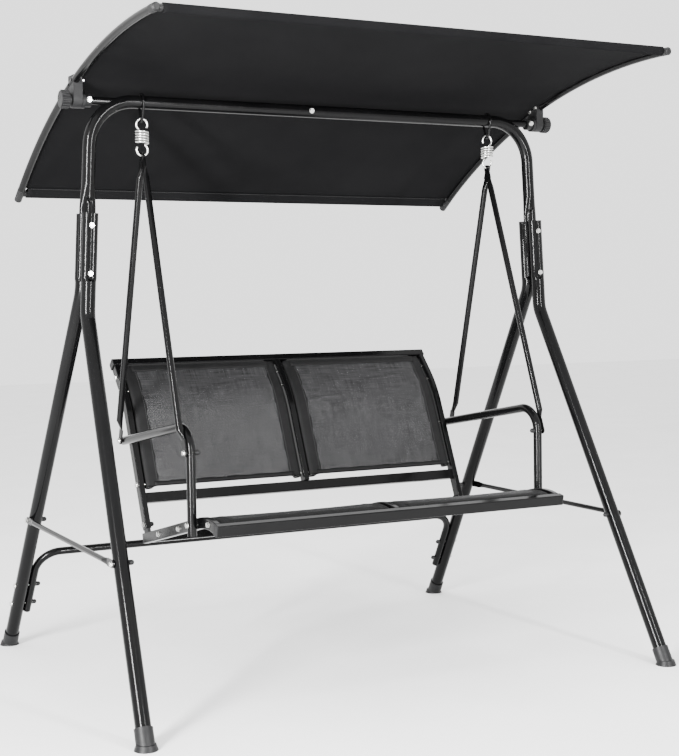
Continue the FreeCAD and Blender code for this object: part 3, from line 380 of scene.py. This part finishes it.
def canopy_stitches(hem_half):
    """Both hems' rows of stitches, seen from above and from below."""
    seams = []
    steps = range(SEAM_STEPS + 1)
    edges = (("front", FRONT_ANGLE + SEAM_ANGLE * 0.93), ("rear", REAR_ANGLE - SEAM_ANGLE * 0.93))
    for end, angle in edges:
        outward = Vector((0.0, math.sin(angle), math.cos(angle)))
        for face, lift, normal in (("top", 0.6 * MM, outward), ("under", -2.6 * MM, -outward)):
            places = [-hem_half + 2 * hem_half * step / SEAM_STEPS for step in steps]
            line = [canopy_point(x, angle, ARC_RADIUS + lift) for x in places]
            name = f"canopy_stitches_{end}_{face}"
            seams.append(stitches(name, line, [normal] * SEAM_STEPS, "canopy"))
    return seams


def make_canopy():
    """One sheet, stretched from rib to rib and wrapped round both cross tubes."""
    first, last = FRONT_ANGLE + SEAM_ANGLE, REAR_ANGLE - SEAM_ANGLE
    wrap = hem_wrap()
    line = [(FRONT_ANGLE + ahead, lift) for ahead, lift in wrap]
    line += [(first + (last - first) * step / CANOPY_ROWS, 0.0) for step in range(CANOPY_ROWS + 1)]
    line += [(REAR_ANGLE - ahead, lift) for ahead, lift in reversed(wrap)]
    half = RIB_INNER + RIB_OVERLAP
    hem_half = RIB_INNER - HEM_SHORTER
    rows, uvs = [], []
    for column in range(CANOPY_COLUMNS + 1):
        share = column / CANOPY_COLUMNS * 2 - 1
        row, uv, run = [], [], 0.0
        for place, (angle, lift) in enumerate(line):
            inside = max(0.0, min(1.0, (angle - first) / (last - first)))
            tight = math.sin(math.pi * inside)
            sag = -CLOTH_SAG * tight ** 0.6 * (1 - abs(share) ** 2.4)
            pull = EDGE_PULL * tight * math.sin(inside * 61.0 + share * 3.0) * abs(share) ** 10
            reach = half if len(wrap) <= place < len(line) - len(wrap) else hem_half
            point = canopy_point(share * reach, angle, ARC_RADIUS + lift + sag + pull)
            if row:
                run += (point - row[-1]).length
            row.append(point)
            uv.append((share * half, run))
        rows.append(row)
        uvs.append(uv)
    piece = new_mesh("canopy_sheet", rows, CLOTH, uvs)
    thicken(piece, CLOTH_THICK)
    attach(piece, "canopy")
    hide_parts("canopy_cloth")
    flat = (2 * half, path_length(rows[CANOPY_COLUMNS // 2]))
    return piece, flat, canopy_stitches(hem_half)


canopy, canopy_flat, seams = make_canopy()


# ---------------------------------------------------------------- slings

ROD_RADIUS = 10 * MM
SLEEVE_RADIUS = 10.8 * MM
SLING_THICK = 0.9 * MM
BAND = 25 * MM
SLING_DIP = 2.5 * MM
LINE_STEP = 6 * MM
SLEEVE_STEPS = 12
PANEL_STEPS = 40
HEM_COLUMNS = 48
HEM_LIFT = 1.3 * MM
HEM_TUCK = 1.6 * MM
HEM_DEPTHS = {"lower": 9 * MM, "upper": 18 * MM}


def normal_of(direction):
    """Square to a direction in the plane of Y and Z."""
    return Vector((-direction.y, direction.x))


def in_space(x, flat):
    return Vector((x, flat.x, flat.y))


def bent_line(start, corner, end, radius):
    """Points and directions, in the plane of Y and Z, along two runs joined by an arc."""
    arriving, leaving = (corner - start).normalized(), (end - corner).normalized()
    turn = arriving.angle(leaving)
    setback = radius * math.tan(turn / 2)
    sign = 1.0 if arriving.x * leaving.y - arriving.y * leaving.x > 0 else -1.0
    runs = [(start, arriving, (corner - start).length - setback, 0.0),
            (corner - arriving * setback, arriving, radius * turn, sign / radius),
            (corner + leaving * setback, leaving, (end - corner).length - setback, 0.0)]
    points = []
    for origin, direction, length, curve in runs:
        count = max(2, round(length / LINE_STEP))
        normal = normal_of(direction)
        for number in range(count):
            along = length * number / count
            angle = along * curve
            ahead, aside = along, 0.0
            if curve:
                ahead, aside = math.sin(angle) / curve, (1 - math.cos(angle)) / curve
            place = origin + direction * ahead + normal * aside
            points.append((place, direction * math.cos(angle) + normal * math.sin(angle)))
    points.append((end, leaving))
    return points


def frame_line(start, corner, end, radius, margins):
    """The centre line of a pair of rods, given as (y, z) points, with its two ends drawn in."""
    start, corner, end = Vector(start), Vector(corner), Vector(end)
    start = start + (corner - start).normalized() * margins[0]
    end = end + (corner - end).normalized() * margins[1]
    return bent_line(start, corner, end, radius)


# Lower end, bend and upper end of the rods; the bend's radius; how far the cloth stops short of each end.
BACK_LINE = frame_line((0.0626, 0.366), (0.196, 0.680), (0.285, 0.7788), 0.300, (0.107, 0.026))
SEAT_LINE = frame_line((0.074, 0.3413), (-0.336, 0.436), (-0.405, 0.4201), 0.200, (0.042, 0.026))


def sling_section(first_x, last_x):
    """Across one sling, as (x, height): from a seam round one rod, over the panel, round the other rod.

    Also says how many of the points belong to each sleeve and its band."""
    half = [(BAND, SLEEVE_RADIUS - 2.2 * MM), (BAND * 0.8, SLEEVE_RADIUS - 2.6 * MM), (BAND * 0.58, 5 * MM)]
    for step in range(SLEEVE_STEPS + 1):
        angle = math.radians(-18 - 252 * step / SLEEVE_STEPS)
        half.append((SLEEVE_RADIUS * math.cos(angle), SLEEVE_RADIUS * math.sin(angle)))
    half += [(BAND * share, SLEEVE_RADIUS) for share in (0.3, 0.65, 1.0)]
    panel = last_x - first_x - 2 * BAND
    section = [(first_x + x, height) for x, height in half]
    inner_x = first_x + BAND
    section += [(inner_x + panel * step / PANEL_STEPS, SLEEVE_RADIUS) for step in range(1, PANEL_STEPS)]
    section += [(last_x - x, height) for x, height in reversed(half)]
    return section, len(half)


def band_wobble(run):
    """How far the cut edge of a side band strays at one place along it."""
    return 1.4 * MM * math.sin(run * 95.0) + 0.9 * MM * math.sin(run * 241.0 + 1.0)


def sling_rows(line, first_x, last_x, front):
    """Rows of points and UVs of one sling, its length, and the points in each sleeve."""
    section, edge = sling_section(first_x, last_x)
    rows, uvs = [], []
    run = 0.0
    for number, (place, direction) in enumerate(line):
        if number:
            run += (place - line[number - 1][0]).length
        normal = normal_of(direction) * front
        share = number / (len(line) - 1)
        row, uv, across = [], [], 0.0
        for column, (x, height) in enumerate(section):
            inner = (x - first_x - BAND) / (last_x - first_x - 2 * BAND)
            dip = 0.0
            if edge <= column < len(section) - edge:
                dip = -SLING_DIP * math.sin(math.pi * inner) * math.sin(math.pi * share)
            if column in (edge - 1, len(section) - edge):
                x += band_wobble(run) if column < edge else -band_wobble(run)
            point = in_space(x, place + normal * (height + dip))
            if row:
                across += (point - row[-1]).length
            row.append(point)
            uv.append((across, run))
        rows.append(row)
        uvs.append(uv)
    return rows, uvs, run, edge


def make_sling(part, hand, line, first_x, last_x, front):
    """A mesh panel sewn round two rods, with dense side bands and folded hems."""
    name = f"{part}_mesh_{hand}"
    rows, uvs, run, edge = sling_rows(line, first_x, last_x, front)
    piece = new_mesh(name, rows, MESH, uvs)
    piece.data.materials.append(BINDING)
    columns = len(rows[0]) - 1
    for face in piece.data.polygons:
        column = face.index % columns
        if column < edge - 1 or column >= columns - edge + 1:
            face.material_index = 1
    thicken(piece, SLING_THICK)
    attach(piece, "seat")
    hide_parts(f"{part}_sling_{hand}")
    for end, depth in HEM_DEPTHS.items():
        order = list(reversed(line)) if end == "upper" else line
        make_hem(f"{name}_hem_{end}", order, first_x, last_x, front, depth)
    for side, x in (("a", first_x + BAND * 0.82), ("b", last_x - BAND * 0.82)):
        points = []
        normals = []
        for place, direction in line:
            normal = normal_of(direction) * front
            points.append(in_space(x, place + normal * (SLEEVE_RADIUS + SLING_THICK / 2)))
            normals.append(in_space(0.0, normal))
        stitches(f"{name}_stitches_{side}", points, normals, "seat")


def make_hem(name, line, first_x, last_x, front, depth):
    """A folded strip of dense cloth along the end of a sling where the line starts."""
    taken = [line[0]]
    run = 0.0
    for before, after in zip(line, line[1:]):
        run += (after[0] - before[0]).length
        taken.append(after)
        if run >= depth:
            break
    rows, uvs = [], []
    start, stop = first_x + BAND * 0.5, last_x - BAND * 0.5
    for number in range(HEM_COLUMNS + 1):
        x = start + (stop - start) * number / HEM_COLUMNS
        place, direction = taken[0]
        tucked = place + normal_of(direction) * front * (SLEEVE_RADIUS - HEM_TUCK)
        row, uv = [in_space(x, tucked)], [(x, -LINE_STEP / 2)]
        for rank, (place, direction) in enumerate(taken):
            normal = normal_of(direction) * front
            waver = 0.8 * MM * math.sin(x * 83.0) if rank == len(taken) - 1 else 0.0
            row.append(in_space(x, place + normal * (SLEEVE_RADIUS + HEM_LIFT) + direction * waver))
            uv.append((x, rank * LINE_STEP))
        rows.append(row)
        uvs.append(uv)
    piece = new_mesh(name, rows, BINDING, uvs)
    thicken(piece, SLING_THICK)
    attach(piece, "seat")
    return piece


OUTER_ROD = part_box("back_sling_rods")[1].x - ROD_RADIUS
INNER_ROD = 22.5 * MM
for part, line, front in (("back", BACK_LINE, 1), ("seat", SEAT_LINE, -1)):
    make_sling(part, "left", line, -OUTER_ROD, -INNER_ROD, front)
    make_sling(part, "right", line, INNER_ROD, OUTER_ROD, front)


# ---------------------------------------------------------------- springs

WIRE_RADIUS = 2.5 * MM
WIRE_SIDES = 14
CAP_TILTS = (30, 60, 85)
COIL_TURNS = 4.72
COIL_LEAD = 0.36
COIL_STEPS = 150
COIL_CLEAR = 1.5 * MM
HOOK_SHARE = 0.96
HOOK_START = 122
HOOK_SWEEP = 262
HOOK_STEPS = 22


def ring_round(point, side, other):
    turns = [2 * math.pi * turn / WIRE_SIDES for turn in range(WIRE_SIDES)]
    return [point + (side * math.cos(angle) + other * math.sin(angle)) * WIRE_RADIUS for angle in turns]


def dome(ring, centre, outward):
    """Shrinking rings that close one end of a wire."""
    rings = []
    for tilt in CAP_TILTS:
        shrink, ahead = math.cos(math.radians(tilt)), math.sin(math.radians(tilt))
        rings.append([centre + (point - centre) * shrink + outward * WIRE_RADIUS * ahead for point in ring])
    return rings


def pipe(name, points, material):
    """A round wire along a line of points, with domed ends."""
    tangents = []
    for number in range(len(points)):
        before, after = points[max(0, number - 1)], points[min(len(points) - 1, number + 1)]
        tangents.append((after - before).normalized())
    side = tangents[0].orthogonal().normalized()
    rings = []
    for point, tangent in zip(points, tangents):
        side = (side - tangent * side.dot(tangent)).normalized()
        rings.append(ring_round(point, side, tangent.cross(side)))
    start = dome(rings[0], points[0], -tangents[0])
    end = dome(rings[-1], points[-1], tangents[-1])
    return new_mesh(name, start[::-1] + rings + end, material, closed=True)


def smooth(points, passes=2):
    """Chaikin rounding of an open line of points."""
    for _ in range(passes):
        cut = [points[0]]
        for before, after in zip(points, points[1:]):
            cut += [before * 0.75 + after * 0.25, before * 0.25 + after * 0.75]
        cut.append(points[-1])
        points = cut
    return points


def make_spring(name, node, side):
    """Open-wound spring with a full round hook bent up from each end of the coil."""
    low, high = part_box(node)
    radius = (high.x - low.x) / 2 - WIRE_RADIUS
    x, y = (low.x + high.x) / 2, (low.y + high.y) / 2
    top, bottom = high.z - WIRE_RADIUS, low.z + WIRE_RADIUS
    hook = HOOK_SHARE * radius
    coil_top, coil_bottom = top - 2 * hook - COIL_CLEAR, bottom + 2 * hook + COIL_CLEAR
    coil = []
    for number in range(COIL_STEPS + 1):
        share = number / COIL_STEPS
        angle = -math.pi / 2 - side * 2 * math.pi * (COIL_TURNS * share - COIL_LEAD)
        level = coil_top + (coil_bottom - coil_top) * share
        coil.append(Vector((x + radius * math.cos(angle), y + radius * math.sin(angle) * 0.98, level)))
    upper, lower = [], []
    for step in range(HOOK_STEPS + 1):
        turn = math.radians(HOOK_START + HOOK_SWEEP * step / HOOK_STEPS)
        aside, rise = side * hook * math.cos(turn), hook * math.sin(turn)
        upper.append(Vector((x - aside, y, top - hook - rise)))
        lower.append(Vector((x + aside, y, bottom + hook + rise)))
    piece = pipe(name, smooth(upper[::-1] + coil + lower), ZINC)
    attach(piece, "springs")
    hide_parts(node)


make_spring("coil_spring_left", "spring_left", -1)
make_spring("coil_spring_right", "spring_right", 1)


# ---------------------------------------------------------------- stage, light, camera

FLOOR_HALF = 14.0


def make_floor():
    corners = [(sx * FLOOR_HALF, sy * FLOOR_HALF, 0) for sx, sy in ((-1, -1), (1, -1), (1, 1), (-1, 1))]
    mesh = bpy.data.meshes.new("floor")
    mesh.from_pydata(corners, [], [(0, 1, 2, 3)])
    n = Nodes("floor")
    n.set(Base_Color=n.ramp(n.noise(3.0), ((0.3, 0.86), (0.7, 0.9))), Roughness=0.9)
    mesh.materials.append(n.material)
    link_object("floor", mesh)


def area_light(name, place, target, size, power):
    """A flat rectangular light that faces its target."""
    data = bpy.data.lights.new(name, "AREA")
    data.shape = "RECTANGLE"
    data.size, data.size_y = size
    data.energy = power
    light = bpy.data.objects.new(name, data)
    light.location = place
    light.rotation_mode = "QUATERNION"
    light.rotation_quaternion = (Vector(target) - Vector(place)).to_track_quat("-Z", "Y")
    bpy.context.scene.collection.objects.link(light)


def make_light():
    world = bpy.data.worlds.new("studio")
    world.use_nodes = True
    background = world.node_tree.nodes["Background"]
    background.inputs["Color"].default_value = (1.0, 1.0, 1.0, 1.0)
    background.inputs["Strength"].default_value = 2.1
    bpy.context.scene.world = world
    area_light("strip_left", (-3.4, -2.4, 1.0), (0, 0, 0.9), (0.2, 3.4), 1000)
    area_light("strip_right", (0.6, -3.9, 1.0), (0, 0, 0.9), (0.14, 3.2), 300)
    area_light("above", (0.4, -0.8, 4.2), (0, 0, 0.5), (2.4, 0.5), 120)


CAMERA_PLACE = (-1.7309, -3.3756, 0.9229)
CAMERA_LENS = 69.56
SENSOR_WIDTH = 36.0
CAMERA_TURN = (27.877, -2.919, -0.819)


def make_camera():
    """Out in front of the left side, between the seat and the top bar."""
    yaw, pitch, roll = (math.radians(angle) for angle in CAMERA_TURN)
    ahead = Vector((math.sin(yaw) * math.cos(pitch), math.cos(yaw) * math.cos(pitch), math.sin(pitch)))
    right = Vector((math.cos(yaw), -math.sin(yaw), 0.0))
    up = right.cross(ahead)
    turned_right = right * math.cos(roll) + up * math.sin(roll)
    turned_up = up * math.cos(roll) - right * math.sin(roll)
    data = bpy.data.cameras.new("camera")
    data.lens = CAMERA_LENS
    data.sensor_width = SENSOR_WIDTH
    camera = bpy.data.objects.new("camera", data)
    turn = Matrix((turned_right, turned_up, -ahead)).transposed().to_4x4()
    camera.matrix_world = Matrix.Translation(CAMERA_PLACE) @ turn
    bpy.context.scene.collection.objects.link(camera)
    bpy.context.scene.camera = camera


make_floor()
make_light()
make_camera()
